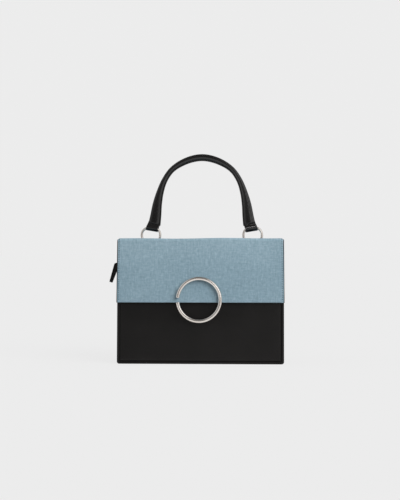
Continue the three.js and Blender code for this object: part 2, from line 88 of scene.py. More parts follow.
# Zip pull: a strip folded over the slider's bar, with a slot for the tongue between two ears at the fold
PULL_LENGTH, PULL_WIDTH, PULL_CORNER, PULL_TILT = 23.3, 9.0, 2.0, math.radians(18.6)
PULL_FOLD, PULL_END, PULL_LAYER = 3.0, 3.6, 1.7
PULL_SLOT_ANGLE, PULL_EAR_INSET = math.radians(28), 0.05
PULL_SEAM, PULL_SEAM_CORNER, PULL_SEAM_TOP = 1.7, 1.2, -3.0

# Flap: denim over a dark facing, with a painted edge that the denim partly covers
FLAP_FRONT, FLAP_BACK = 76.9, 120.0
FACING_THICK, DENIM_THICK = 1.1, 1.4
FLAP_STACK = FACING_THICK + GAP + DENIM_THICK
FLAP_CLEAR, RIM_GAP, FOLD_RADIUS = 0.6, 0.8, 0.8
FLAP_TOP_HALF, FLAP_EDGE_HALF, FLAP_SAG = 105.0, 105.6, 5.4
FLAP_WAVE, FLAP_WAVE_LENGTH, FLAP_BLEND = 0.5, 130.0, 30.0
FLAP_DROOP, FLAP_DROOP_WIDTH = 2.0, 4.5
RIM_INSIDE = TOP_DEPTH / 2 - WALL - GAP - GUSSET_THICK - GAP
FOLD_Y = -(TOP_DEPTH / 2 + FLAP_CLEAR - FOLD_RADIUS)
FOLD_Z = HEIGHT + RIM_GAP - FOLD_RADIUS
EDGE_PAINT, EDGE_PROUD, HEM_PAINT, FLAP_SEAM = 1.2, 0.05, 0.5, 2.7
DENIM_INSET = EDGE_PAINT * 0.7

# Grid of the flap: steps down the front, round a fold, over the top and down the back, and across each
# half, the length that gives the rows at a hem, and first place, end and spacing of the fine columns
FLAP_STEPS, FLAP_COLUMNS, FLAP_HEM, FLAP_FINE = (54, 10, 44, 22), 60, 4.0, (1.5, 12.0, 0.9)

# Distance along the cloth from the front edge to the middle of the bag's top, about which the denim is
# painted paler as painted light from above, and distances from there where that painted light begins to
# fade and is gone
CLOTH_TOP, CLOTH_FADE, CLOTH_FADED = 112.0, 36.0, 75.0

# Ring on the front, and its posts with their flare
RING_X, RING_Z, RING_RADIUS, RING_WIRE, RING_STAND = -1.4, 80.7, 26.7, 4.8, 0.9
RING_START, RING_END, RING_POST = 187.7, 533.2, 2.6
RING_POST_ANGLES, RING_BEVEL, BEVEL_TURN = (58, 122), 0.5, 80
POST_FLARE, POST_FLARE_FROM = 0.35, 0.6

# D-rings, whose arch has a power of 2 for an ellipse and more for a squarer form
DRING_X, DRING_HALF, DRING_ARCH, DRING_POWER = 65.5, 11.8, 10.1, 2.4
DRING_WIRE, DRING_RISE, DRING_CORNER = 3.0, 7.6, 6.5

# Keepers over the rings' bars: run of the rise beside the arch, its angles, and the seams' distances
KEEPER_WIDTH, KEEPER_THICK, KEEPER_HALF, KEEPER_PLAY = 9.4, 1.3, 11.0, 0.5
KEEPER_RISE, KEEPER_ARCH, KEEPER_SEAM, KEEPER_SEAM_END = 0.8, (172, 8), 1.6, 2.2

# Handle from an end to the crown: place, rise above the bars, width in its plane, and depth
HANDLE_ROWS = np.array([
    (61.2, 20.6, 15.8, 4.6),
    (59.5, 32.3, 14.4, 4.9),
    (57.5, 47.8, 12.1, 5.6),
    (54.0, 63.4, 9.4, 6.4),
    (48.2, 79.0, 7.6, 7.0),
    (39.4, 92.0, 7.4, 7.2),
    (24.5, 102.2, 8.5, 7.2),
    (0.0, 108.4, 9.1, 7.2),
])
HANDLE_LEAN, HANDLE_STEPS = math.radians(4), 240

# Strap: a roll, 2 being the power of an ellipse, closed by a seam along a flat lip on its inner side
ROLL_POWER = 2.3
LIP, LIP_HALF, LIP_ROUND = 1.7, 1.2, 0.7

# Ends of the strap over the tabs: distance from the arch's end, rounding and its least share, swell, slant,
# and the reach of both
STRAP_START, STRAP_ROUND, STRAP_LEAST = 1.2, 1.8, 0.02
STRAP_SWELL, STRAP_SLANT, STRAP_REACH = 1.4, 0.15, 7.0

# Tabs that roll round the D-rings and narrow to a neck inside the strap's ends. Each hangs a drop below its
# ring's arch, and runs inwards by a shear for each millimetre up.
TAB_TILT, TAB_INSET, TAB_RADIUS, TAB_THICK = math.radians(10), 1.8, 3.35, 1.6
TAB_DROP = {-1: 0.4, 1: 1.0}
TAB_TWIST = math.radians(6)
TAB_WIDTH, TAB_LEG, TAB_NECK, TAB_NECK_RISE, TAB_SHEAR = 15.4, 8.0, 0.95, 6.0, 0.19

# Stitches: slant across the seam, rings of a bead and angle where its ends are cut, and for each kind the
# pitch, the length, width and height that show, and the share of the height that is sunk
STITCH_SLANT, BEAD_RINGS, BEAD_END = 0.12, 4, 78
SADDLE = dict(pitch=3.1, size=(2.3, 0.62, 0.5))
FINE = dict(pitch=2.75, size=(1.7, 0.6, 0.5))
FLAP_STITCH = dict(pitch=2.8, size=(1.6, 0.85, 0.7), sink=0.1)
SMALL = dict(pitch=2.3, size=(1.6, 0.5, 0.4))


# Shapes

X_WAY, Y_WAY, Z_WAY = np.eye(3)


def spread(start, stop, steps):
    return np.linspace(start, stop, steps + 1)


def smooth(value, low, high):
    share = np.clip((value - low) / (high - low), 0, 1)
    return share * share * (3 - 2 * share)


def unit(ways):
    return ways / np.linalg.norm(ways, axis=-1, keepdims=True)


def vectors(*coordinates):
    """Points in a plane or in space from coordinates that are arrays or single numbers."""
    return np.stack(np.broadcast_arrays(*coordinates), -1).astype(float)


def upright(path, y=0):
    """Points of a path of x and z, at a depth."""
    return vectors(path[:, 0], y, path[:, 1])


def both_sides(left, middle):
    """Path along a left side, a middle and the mirrored side."""
    return np.concatenate([left, middle, (left * (-1, 1))[::-1]])


def arc(radius, start, stop, steps):
    """Points in a plane on a circle, between two angles in degrees."""
    turn = np.radians(spread(start, stop, steps))
    return radius * vectors(np.cos(turn), np.sin(turn))


def turned(points, first, second, angle):
    """Points turned by an angle that takes their second axis towards the first."""
    a, b = points[..., first], points[..., second]
    made = points.copy()
    made[..., first] = a * np.cos(angle) + b * np.sin(angle)
    made[..., second] = b * np.cos(angle) - a * np.sin(angle)
    return made


def closing(rounding, steps):
    """Distances from 0 to a rounding, close together at the start."""
    return rounding * (1 - np.cos(spread(0, math.pi / 2, steps)))


def edged(length, rounding, middle, steps=4):
    """Distances from 0 to a length, close together over the rounding at both ends."""
    end = closing(rounding, steps)
    return np.concatenate([end, spread(rounding, length - rounding, middle)[1:-1], length - end[::-1]])


def centred(width, rounding, middle):
    """Row of distances about the middle of a width, close together at both edges."""
    return edged(width, rounding, middle)[None] - width / 2


def grid_quads(index):
    corners = [index[:-1, :-1], index[:-1, 1:], index[1:, 1:], index[1:, :-1]]
    return np.stack(corners, -1).reshape(-1, 4)


def outward(points, quads, caps):
    """The part with its faces turned so that they point out."""
    a, b, c, d = (points[quads[:, k]] for k in range(4))
    volume = (np.cross(a, b) * c).sum() + (np.cross(a, c) * d).sum()
    if volume < 0:
        return points, quads[:, ::-1], [cap[::-1] for cap in caps]
    return points, quads, caps


def run_along(grid, axis=0):
    """Distance along a path, or along the lines of a grid, to each point."""
    step = np.linalg.norm(np.diff(grid, axis=axis), axis=-1)
    start = np.zeros_like(np.take(step, [0], axis))
    return np.concatenate([start, np.cumsum(step, axis)], axis)


def edge_distance(grid, axis=0):
    """Distance along a path, or along the lines of a grid, to the nearer end."""
    run = run_along(grid, axis)
    return np.minimum(run, np.take(run, [-1], axis) - run)


def pad(middle, thickness, rounding=None):
    """Closed sheet with rounded edges about a grid of middle points. Thickness is a number or a grid."""
    rounding = rounding or np.min(thickness) / 2
    inside = np.zeros(middle.shape[:2], bool)
    inside[1:-1, 1:-1] = True
    distance = np.minimum(edge_distance(middle), edge_distance(middle, 1))
    depth = 1 - np.clip(distance / rounding, 0, 1)
    normals = unit(np.cross(np.gradient(middle, axis=0), np.gradient(middle, axis=1)))
    half = (thickness / 2 * np.sqrt(1 - depth**2))[..., None] * normals
    upper = np.arange(inside.size).reshape(inside.shape)
    lower = upper.copy()
    lower[inside] = inside.size + np.arange(inside.sum())
    points = np.concatenate([(middle + half).reshape(-1, 3), (middle - half)[inside]])
    return outward(points, np.concatenate([grid_quads(upper), grid_quads(lower)[:, ::-1]]), [])


def sweep(centres, side, up, section, closed=False):
    """Skin over a section of (side, up) pairs carried along centres. All three may change along the way."""
    side, up = (np.broadcast_to(way, centres.shape) for way in (side, up))
    section = np.broadcast_to(section, (len(centres), *np.shape(section)[-2:]))
    points = centres[:, None] + section[..., :1] * side[:, None] + section[..., 1:] * up[:, None]
    index = np.arange(section[..., 0].size).reshape(section.shape[:2])
    loop = np.concatenate([index, index[:, :1]], 1)
    if closed:
        loop = np.concatenate([loop, loop[:1]])
    caps = [] if closed else [index[0][::-1].tolist(), index[-1].tolist()]
    return outward(points.reshape(-1, 3), grid_quads(loop), caps)


def tangents(path, closed=False):
    if closed:
        return unit(np.roll(path, -1, 0) - np.roll(path, 1, 0))
    return unit(np.gradient(path, axis=0))


def circle(radius, sides):
    angle = 2 * math.pi * np.arange(sides) / sides
    return radius * vectors(np.cos(angle), np.sin(angle))


def super_oval(half_wide, half_high, power, sides):
    """Rounded oblong: power 2 is an ellipse, and a larger power is squarer."""
    corner = circle(1, sides)
    corner = np.sign(corner) * np.abs(corner) ** (2 / power)
    return corner * (half_wide, half_high)


def tube(path, radius, closed=False, sides=24, bevel=0.0):
    """Wire along a path in the XZ plane, with bevelled ends."""
    along = tangents(path, closed)
    scale = np.ones(len(path))
    if bevel:
        turn = np.radians(spread(0, BEVEL_TURN, 4))[1:]
        shrink = 1 - bevel / radius * (1 - np.cos(turn))
        ahead = bevel * np.sin(turn)[:, None]
        path = np.concatenate([(path[0] - ahead * along[0])[::-1], path, path[-1] + ahead * along[-1]])
        along = np.pad(along, ((len(turn), len(turn)), (0, 0)), "edge")
        scale = np.concatenate([shrink[::-1], scale, shrink])
    section = scale[:, None, None] * circle(radius, sides)
    return sweep(path, np.cross(along, Y_WAY), Y_WAY, section, closed)


def march(pitch, path, *others):
    """Places a pitch apart along a path, the directions there, and other values carried along with it."""
    run = run_along(path)
    count = max(1, round(run[-1] / pitch))
    at = (np.arange(count) + 0.5) * run[-1] / count
    places, along, *carried = (
        np.stack([np.interp(at, run, column) for column in value.T], -1)
        for value in (path, tangents(path), *others)
    )
    return places, unit(along), *carried


def beads(places, along, up, size, power=2.0, sides=8):
    """Rounded beads at places, with their length along the seam, width across it, and height."""
    turn = np.radians(spread(-BEAD_END, BEAD_END, BEAD_RINGS))
    reach = np.sign(np.sin(turn)) * np.abs(np.sin(turn)) ** (2 / power)
    girth = np.cos(turn) ** (2 / power)
    rim = super_oval(1, 1, power, sides)
    form = vectors(reach[:, None], *(girth[:, None] * rim.T[:, None])).reshape(-1, 3) * np.array(size) / 2
    across = unit(np.cross(up, along))
    axes = np.stack([along, across, up], 1)
    points = places[:, None] + np.einsum("vk,nkd->nvd", form, axes)
    index = np.arange(len(form)).reshape(-1, sides)
    quads = grid_quads(np.concatenate([index, index[:, :1]], 1))
    starts = len(form) * np.arange(len(places))
    ends = [index[0][::-1], index[-1]]
    caps = [(end + start).tolist() for start in starts for end in ends]
    return outward(points.reshape(-1, 3), (quads + starts[:, None, None]).reshape(-1, 4), caps)


def stitches(path, up, pitch, size, sink=0.25):
    """Row of stitches along a path, each turned a little across the seam and sunk a little into it."""
    places, along, up = march(pitch, path, np.broadcast_to(up, path.shape))
    up = unit(up)
    across = np.cross(up, along)
    return beads(places - up * size[2] * sink, unit(along + STITCH_SLANT * across), up, size)


def bend(start, corner, end, radius, edge, far_edge=True):
    """Columns from start round a corner to end, close together at both edges."""
    def leg(outer, inner, rounded, count):
        reach = np.linalg.norm(inner - outer, axis=-1, keepdims=True) - radius
        near = closing(edge, 3) if rounded else np.zeros(1)
        far = [near[-1] + (reach - near[-1]) * share for share in spread(0, 1, count)[1:]]
        return [outer + unit(inner - outer) * distance for distance in (*near, *far)]
    first = leg(start, corner, True, 3)
    second = leg(end, corner, far_edge, 8)
    turn = [
        (1 - t) ** 2 * first[-1] + 2 * t * (1 - t) * corner + t**2 * second[-1]
        for t in spread(0, 1, 6)[1:-1]
    ]
    return np.stack(first + turn + second[::-1], 1)


def moved(parts, place):
    """Parts with their points put through a function."""
    return [(place(points), quads, caps) for points, quads, caps in parts]


# Materials


def add_node(tree, kind, inputs, **settings):
    """Shader node with its settings, and its inputs linked to sockets or set to values."""
    made = tree.nodes.new("ShaderNode" + kind)
    for key, value in settings.items():
        setattr(made, key, value)
    for key, value in inputs.items():
        if isinstance(value, bpy.types.NodeSocket):
            tree.links.new(value, made.inputs[key])
        else:
            made.inputs[key].default_value = value
    return made


def ranges(value, start, stop, low, high):
    return {"Value": value, "From Min": start, "From Max": stop, "To Min": low, "To Max": high}


class Finish:
    """Material whose nodes are added one after another."""

    def __init__(self, name, **values):
        self.material = bpy.data.materials.new(name)
        self.material.use_nodes = True
        self.tree = self.material.node_tree
        self.node = functools.partial(add_node, self.tree)
        self.shader = self.tree.nodes["Principled BSDF"]
        for socket, value in values.items():
            self.shader.inputs[socket.replace("_", " ")].default_value = value

    def place(self, scale, attribute=None):
        """Coordinates in metres, stretched by one scale or by a scale for each axis."""
        if attribute:
            source = self.node("Attribute", {}, attribute_name=attribute).outputs["Vector"]
        else:
            source = self.node("TexCoord", {}).outputs["Object"]
        scale = np.broadcast_to(scale, 3).tolist()
        return self.node("Mapping", {"Vector": source, "Scale": scale}).outputs["Vector"]

    def noise(self, scale, attribute=None, detail=3.0, rough=0.55):
        return self.node("TexNoise", {
            "Vector": self.place(scale, attribute), "Scale": 1.0, "Detail": detail, "Roughness": rough,
        }).outputs[0]

    def wave(self, scale, bands, distortion, stretch=1, attribute=None, detail=2.0):
        """Bands that follow each other along X, along Y or diagonally."""
        return self.node("TexWave", {
            "Vector": self.place(stretch, attribute),
            "Scale": scale, "Distortion": distortion, "Detail": detail,
        }, bands_direction=bands).outputs["Fac"]

    def ranged(self, value, low, high, start=0.3, stop=0.7):
        return self.node("MapRange", ranges(value, start, stop, low, high)).outputs[0]

    def calc(self, operation, *values):
        return self.node("Math", dict(enumerate(values)), operation=operation).outputs[0]

    def sum(self, *terms):
        """Weighted sum of (socket, weight) terms."""
        total = None
        for socket, weight in terms:
            part = self.calc("MULTIPLY", socket, weight)
            total = self.calc("ADD", total, part) if total else part
        return total

    def colour(self, value, *stops):
        """Base colour from a ramp through (position, colour) stops."""
        ramp = self.node("ValToRGB", {0: value})
        elements = ramp.color_ramp.elements
        while len(elements) < len(stops):
            elements.new(0.5)
        for element, (position, colour) in zip(elements, stops):
            element.position = position
            element.color = (*colour, 1)
        self.use(Base_Color=ramp.outputs["Color"])

    def use(self, **sockets):
        for socket, value in sockets.items():
            self.tree.links.new(value, self.shader.inputs[socket.replace("_", " ")])

    def bump(self, height, distance, strength):
        made = self.node("Bump", {"Height": height, "Distance": distance, "Strength": strength})
        self.use(Normal=made.outputs["Normal"])


def leather(name, rough, grain, gloss):
    made = Finish(name, Specular_IOR_Level=gloss)
    tone = made.noise(28, detail=4)
    fine = made.noise(grain)
    cells = made.place(grain * 0.8)
    pores = made.node("TexVoronoi", {"Vector": cells, "Scale": 1.0}).outputs["Distance"]
    made.colour(tone, (0.35, (0.0046, 0.0039, 0.0036)), (0.65, (0.0070, 0.0060, 0.0056)))
    made.use(Roughness=made.ranged(fine, *rough))
    made.bump(made.sum((fine, 0.6), (pores, 0.4)), 0.00012, 0.55)
    return made.material


def denim():
    made = Finish("denim", Roughness=0.88, Specular_IOR_Level=0.2, Sheen_Weight=0.15, Sheen_Roughness=0.6)
    warp = made.noise((620, 110, 1), "weave", detail=4, rough=0.7)
    weft = made.noise((110, 620, 1), "weave", detail=4, rough=0.7)
    slub_up = made.noise((420, 60, 1), "weave", detail=2)
    mottle = made.noise((300, 300, 1), "weave", detail=4, rough=0.7)
    cloud = made.noise((14, 14, 1), "weave", detail=2)
    # Painted light: the denim's colour is made paler towards the bag's top, standing in for light falling
    # from above
    along = made.node("SeparateXYZ", {0: made.place(1, "weave")}).outputs["Y"]
    distance = made.calc("ABSOLUTE", made.calc("SUBTRACT", along, CLOTH_TOP * MM))
    painted_top_light = made.ranged(distance, 1.0, 0.0, CLOTH_FADE * MM, CLOTH_FADED * MM)
    tone = made.sum(
        (warp, 0.30), (weft, 0.22), (slub_up, 0.08), (mottle, 0.28), (cloud, 0.12), (painted_top_light, 0.055),
    )
    made.colour(
        tone, (0.40, (0.235, 0.357, 0.437)), (0.52, (0.320, 0.468, 0.555)), (0.64, (0.434, 0.590, 0.675)),
    )
    threads = made.wave(700.0, "X", 1.2, attribute="weave", detail=1.0)
    twill = made.wave(420.0, "DIAGONAL", 0.8, (1, 0.8, 1), "weave", 1.0)
    relief = made.sum((threads, 0.3), (twill, 0.3), (warp, 0.5), (weft, 0.35), (slub_up, 0.4))
    made.bump(relief, 0.00025, 0.8)
    return made.material


def facing():
    made = Finish("facing", Specular_IOR_Level=0.25)
    nap = made.noise(1400, detail=4)
    tone = made.noise(40)
    made.colour(tone, (0.35, (0.010, 0.010, 0.012)), (0.65, (0.018, 0.018, 0.020)))
    made.use(Roughness=made.ranged(nap, 0.62, 0.85))
    made.bump(nap, 0.00015, 0.6)
    return made.material


def edge_paint():
    made = Finish("edge_paint", Specular_IOR_Level=0.2)
    tone = made.noise(120)
    made.colour(tone, (0.35, (0.006, 0.006, 0.007)), (0.65, (0.011, 0.011, 0.012)))
    made.use(Roughness=made.ranged(tone, 0.55, 0.70))
    made.bump(made.noise(500), 0.0001, 0.4)
    return made.material


def thread(name, dark, light):
    made = Finish(name, Roughness=0.62, Specular_IOR_Level=0.3)
    ply = made.wave(900.0, "DIAGONAL", 0.6)
    made.colour(ply, (0.1, dark), (0.9, light))
    made.bump(ply, 0.00012, 0.7)
    return made.material


def tape_cloth():
    made = Finish("tape_cloth", Roughness=0.85, Specular_IOR_Level=0.2)
    rib = made.wave(420.0, "Y", 0.4)
    cross = made.noise(900)
    made.colour(made.sum((rib, 0.6), (cross, 0.4)), (0.3, (0.006,) * 3), (0.7, (0.018,) * 3))
    made.bump(rib, 0.0002, 0.7)
    return made.material


def metal(name, dark, light, rough):
    made = Finish(name, Metallic=1.0)
    cloud = made.noise(60, detail=4)
    brushed = made.noise((300, 300, 2600))
    made.colour(cloud, (0.3, dark), (0.7, light))
    made.use(Roughness=made.ranged(cloud, *rough))
    made.bump(brushed, 0.00002, 0.25)
    return made.material


LEATHER = leather("leather", (0.42, 0.54), 900, 0.265)
HANDLE_LEATHER = leather("handle_leather", (0.18, 0.28), 1100, 0.60)
DENIM = denim()
FACING = facing()
EDGE = edge_paint()
THREAD_BLACK = thread("thread_black", (0.002, 0.002, 0.002), (0.008, 0.008, 0.008))
THREAD_BLUE = thread("thread_blue", (0.012, 0.018, 0.026), (0.040, 0.058, 0.076))
TAPE = tape_cloth()
NICKEL = metal("nickel", (0.76, 0.70, 0.65), (0.88, 0.83, 0.78), (0.17, 0.24))
TEETH = metal("zip_metal", (0.42, 0.41, 0.40), (0.60, 0.59, 0.57), (0.22, 0.34))


# Pieces


def new_object(name, data):
    made = bpy.data.objects.new(name, data)
    bpy.context.scene.collection.objects.link(made)
    return made


def piece(name, parts, finish, body="bag_body", nodes=()):
    """Object from closed parts in millimetres. It rides on a body and may stand for CAD nodes."""
    counts = np.cumsum([0] + [len(points) for points, _, _ in parts])
    faces, rounded = [], []
    for start, (_, quads, caps) in zip(counts, parts):
        faces += (quads + start).tolist() + [[index + int(start) for index in cap] for cap in caps]
        rounded += [True] * len(quads) + [False] * len(caps)
    mesh = bpy.data.meshes.new(name)
    mesh.from_pydata((np.concatenate([points for points, _, _ in parts]) * MM).tolist(), [], faces)
    mesh.polygons.foreach_set("use_smooth", rounded)
    mesh.materials.append(finish)
    made = new_object(name, mesh)
    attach(made, body)
    if nodes:
        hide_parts(*nodes)
    return made


def leather_piece(node, part):
    piece(node + "_leather", [part], LEATHER, nodes=[node])


def stitch_piece(node, rows):
    piece(node + "_stitches", rows, THREAD_BLACK)


# Body


def half_depth(z):
    return (BASE_DEPTH + (TOP_DEPTH - BASE_DEPTH) * z / HEIGHT) / 2


def flange_middle(z):
    """Depth of the middle of the flanges, just inside the panels."""
    return half_depth(z) - WALL - GAP - GUSSET_THICK / 2


def middling(x):
    """Share that falls from 1 at the middle of the bag's width to 0 at its sides."""
    return np.cos(math.pi / 2 * np.minimum(1, np.abs(x) / (WIDTH / 2)))


def bulge(x, z):
    """Outward crown of the panels and of the flap over them."""
    return BULGE * middling(x) * np.sin(math.pi * np.clip(z / HEIGHT, 0, 1))


def rounded_half(half, length, corner, at):
    """Half width of a rounded oblong at a distance along it."""
    short = corner - np.minimum(np.minimum(at, length - at), corner)
    return half - corner + np.sqrt(np.maximum(corner**2 - short**2, 0))


def panel_edge(x, z):
    """Distance to a panel's outline."""
    dx = np.abs(x) - (WIDTH / 2 - CORNER)
    dz = np.abs(z - HEIGHT / 2) - (HEIGHT / 2 - CORNER)
    outside = np.hypot(np.maximum(dx, 0), np.maximum(dz, 0))
    return CORNER - outside - np.minimum(np.maximum(dx, dz), 0)


def panel_relief(x, z):
    """Groove that the seam pulls into a panel, the swell inside it, and slight unevenness of the hide."""
    edge = panel_edge(x, z)
    groove = SEAM_DEPTH * np.exp(-(((edge - SEAM_INSET) / SEAM_HALF) ** 2))
    sink = SWELL * np.exp(-np.maximum(edge - SEAM_INSET, 0) / SWELL_REACH)
    wide, slow, tall = HIDE_WAVES
    uneven = HIDE_RISE * (1 + np.sin(x / wide + np.sin(z / slow)) * np.sin(z / tall + HIDE_PHASE))
    return -(groove + sink + uneven * smooth(edge, *HIDE_FADE))


def press(x, z):
    """Hollow under the flap's front edge, which fades out towards the sides."""
    up_down = smooth(z, PRESS_LOW, PRESS_FULL) * smooth(-z, -PRESS_HIGH, -PRESS_FULL)
    return PRESS * np.sqrt(middling(x)) * up_down


def panel_face(side, x, z):
    """Outer face of the front panel, for side -1, or the back panel."""
    hollow = press(x, z) if side < 0 else 0
    return vectors(x, side * (half_depth(z) + bulge(x, z) + panel_relief(x, z) - hollow), z)


def dense_edges(length, steps):
    """Distances that are close together over the margins at both ends."""
    end = np.concatenate([closing(WALL / 2, 4), np.arange(WALL / 2 + MARGIN_STEP, MARGIN, MARGIN_STEP)])
    return np.concatenate([end, spread(MARGIN, length - MARGIN, steps), (length - end)[::-1]])


def add_panel(name, side):
    z = dense_edges(HEIGHT, PANEL_ROWS)[:, None]
    across = dense_edges(WIDTH, PANEL_COLUMNS)[None] / (WIDTH / 2) - 1
    x = across * rounded_half(WIDTH / 2, HEIGHT, CORNER, z)
    thickness = WALL + panel_relief(x, z)
    middle = panel_face(side, x, z) - vectors(0, side * thickness / 2, 0)
    leather_piece(name, pad(middle, thickness, WALL / 2))
    seam = rounded_outline(WIDTH / 2 - SEAM_INSET, HEIGHT / 2 - SEAM_INSET, SEAM_CORNER, 12)
    path = panel_face(side, seam[:, 0], seam[:, 1] + HEIGHT / 2)
    stitch_piece(name, [stitches(path, (0, side, math.tan(LEAN)), **SADDLE)])


def rounded_outline(half_wide, half_high, corner, steps):
    """Closed outline of a rounded oblong from the middle of its upper side, with points all along."""
    points = [np.array([(0, half_high)])]
    for quarter, (sx, sy) in enumerate([(-1, 1), (-1, -1), (1, -1), (1, 1)]):
        start = 90 + 90 * quarter
        centre = (sx * (half_wide - corner), sy * (half_high - corner))
        points.append(arc(corner, start, start + 90, 5) + centre)
    points = np.concatenate(points + points[:1])
    pieces = [a + (b - a) * spread(0, 1, steps)[:-1, None] for a, b in zip(points[:-1], points[1:])]
    return np.concatenate(pieces + [points[-1:]])


def add_base():
    half_x = WIDTH / 2 - GUSSET_FLANGE - GUSSET_THICK + BASE_LAP
    half_y = half_depth(WALL) - WALL - GAP
    y = edged(2 * half_y, WALL / 2, 30)[:, None]
    x = centred(2, WALL / 2 / half_x, 60) * rounded_half(half_x, 2 * half_y, CORNER, y)
    leather_piece("base_panel", pad(vectors(x, y - half_y, WALL / 2), WALL))


def add_gusset(name, side):
    z = WALL + GAP + edged(GUSSET_TOP - WALL - GAP, GUSSET_THICK / 2, 60)
    tip_x = WIDTH / 2 - 2 * GAP
    web_x = WIDTH / 2 - GUSSET_FLANGE - GUSSET_THICK / 2
    depth = flange_middle(z)
    tip, corner = vectors(tip_x, depth, z), vectors(web_x, depth, z)
    half = bend(tip, corner, vectors(web_x, 0, z), GUSSET_BEND, GUSSET_THICK / 2, far_edge=False)
    middle = np.concatenate([half, half[:, -2::-1] * (1, -1, 1)], 1)
    share = middle[..., 1] / depth[:, None]
    slack = np.sin(math.pi * z / GUSSET_TOP)[:, None]
    crease = CREASE * np.exp(-((middle[..., 1] / CREASE_HALF) ** 2)) * slack
    middle[..., 0] -= GUSSET_BOW * slack * (1 - share**2) + crease
    middle[..., 0] *= side
    leather_piece(name, pad(middle, GUSSET_THICK))
    rows = []
    for face in (-1, 1):
        path = vectors(side * (WIDTH / 2 - FLANGE_SEAM), face * (depth - GUSSET_THICK / 2), z)
        rows.append(stitches(path, (0, -face, 0), **SADDLE))
    y = spread(-1, 1, 24) * (flange_middle(GUSSET_TOP) - TOP_SEAM_END)
    path = vectors(side * (web_x + GUSSET_THICK / 2), y, GUSSET_TOP - TOP_SEAM)
    rows.append(stitches(path, (side, 0, 0), **SADDLE))
    stitch_piece(name, rows)


# Zip


def over_top(inset, drop, corner):
    """Path up the left side, over the top and down the right side, as x and z."""
    half, height, foot = WIDTH / 2 - inset, HEIGHT - drop, GUSSET_TOP + GAP
    leg, turn, top = ZIP_STEPS
    left = np.concatenate([
        vectors(-half, spread(foot, height - corner, leg)),
        arc(corner, 180, 90, turn)[1:-1] + (corner - half, height - corner),
    ])
    middle = vectors(spread(-half + corner, half - corner, top), height)
    return both_sides(left, middle)


def zip_path(sink):
    return over_top(GUSSET_FLANGE + sink, ZIP_DROP + sink, ZIP_CORNER - sink)


def zip_outward():
    """Directions away from the zip's middle surface, along its path."""
    step = np.gradient(zip_path(0), axis=0)
    return unit(vectors(-step[:, 1], 0, step[:, 0]))


def add_zip_strip(name, side):
    rim = over_top(2 * GAP, GAP, CORNER)
    path = zip_path(GUSSET_THICK / 2)
    tip, corner = (upright(line, side * flange_middle(line[:, 1])) for line in (rim, path))
    slot = upright(path, side * ZIP_SLOT)
    leather_piece(name, pad(bend(tip, corner, slot, ZIP_BEND, GUSSET_THICK / 2), GUSSET_THICK))
    seam = upright(zip_path(0), side * (ZIP_SLOT + ZIP_SEAM))
    stitch_piece(name, [stitches(seam, zip_outward(), **SADDLE)])


def add_zip():
    path = zip_path(GUSSET_THICK + GAP + ZIP_TAPE / 2)
    middle = vectors(path[:, :1], centred(2 * ZIP_TAPE_HALF, ZIP_TAPE / 2, 16), path[:, 1:])
    piece("zip_tape_cloth", [pad(middle, ZIP_TAPE)], TAPE, nodes=["zip_tape"])
    tall = TEETH_PROUD + GUSSET_THICK + GAP
    line = upright(zip_path(tall / 2 - TEETH_PROUD))
    places, along, up = march(TEETH_PITCH / 2, line, zip_outward())
    places[:, 1] = np.where(np.arange(len(places)) % 2, 1, -1) * (TEETH_HALF - TOOTH_LONG / 2)
    row = beads(places, along, unit(up), (TOOTH_WIDE, TOOTH_LONG, tall), power=4, sides=12)
    piece("zip_teeth", [row], TEETH)


def add_slider():
    z = edged(SLIDER_LENGTH, SLIDER_ROUND, 12)[:, None]
    taper = SLIDER_NARROW + (1 - SLIDER_NARROW) * smooth(z, 0, SLIDER_LENGTH * SLIDER_TAPER)
    half = rounded_half(SLIDER_WIDTH / 2, SLIDER_LENGTH, SLIDER_CORNER, z) * taper
    y = centred(2, SLIDER_SIDE, 10) * half
    middle = vectors(SLIDER_FACE + SLIDER_THICK / 2, y, z + SLIDER_LEVEL - SLIDER_LENGTH / 2)
    plate = pad(middle, SLIDER_THICK, SLIDER_ROUND)
    x = SLIDER_BAR[0] + edged(TONGUE_REACH + SLIDER_THICK / 2, TONGUE_THICK / 3, 6)[:, None]
    y = centred(TONGUE_WIDTH, TONGUE_THICK / 3, 4)
    tongue = pad(vectors(x, y, SLIDER_LEVEL), TONGUE_THICK, TONGUE_THICK / 3)
    line = SLIDER_BAR + vectors(0, spread(-BAR_LENGTH / 2, BAR_LENGTH / 2, 8), 0)
    bar = sweep(line, X_WAY, Z_WAY, circle(BAR_WIRE / 2, 20))
    piece("zip_slider_metal", [plate, tongue, bar], NICKEL, nodes=["zip_slider"])


def hang(points):
    """Points of the pull, tilted and moved from the origin to the slider's bar."""
    return SLIDER_BAR + turned(points, 0, 2, PULL_TILT)


def pull_line():
    """Middle lines of the pull's outer layer and fold, as x and z, and the angles of the fold's points."""
    radius, gap = PULL_FOLD - PULL_LAYER / 2, PULL_END / 2 - PULL_LAYER / 2
    taper = math.asin((radius - gap) / PULL_LENGTH)
    angle = spread(math.pi + taper, -taper, 40)
    fold = radius * vectors(np.cos(angle), np.sin(angle))
    share = edged(1, PULL_LAYER / 2 / PULL_LENGTH, 24)[:-6, None]
    leg = np.array([-gap, -PULL_LENGTH]) * (1 - share) + fold[0] * share
    return leg, fold, angle


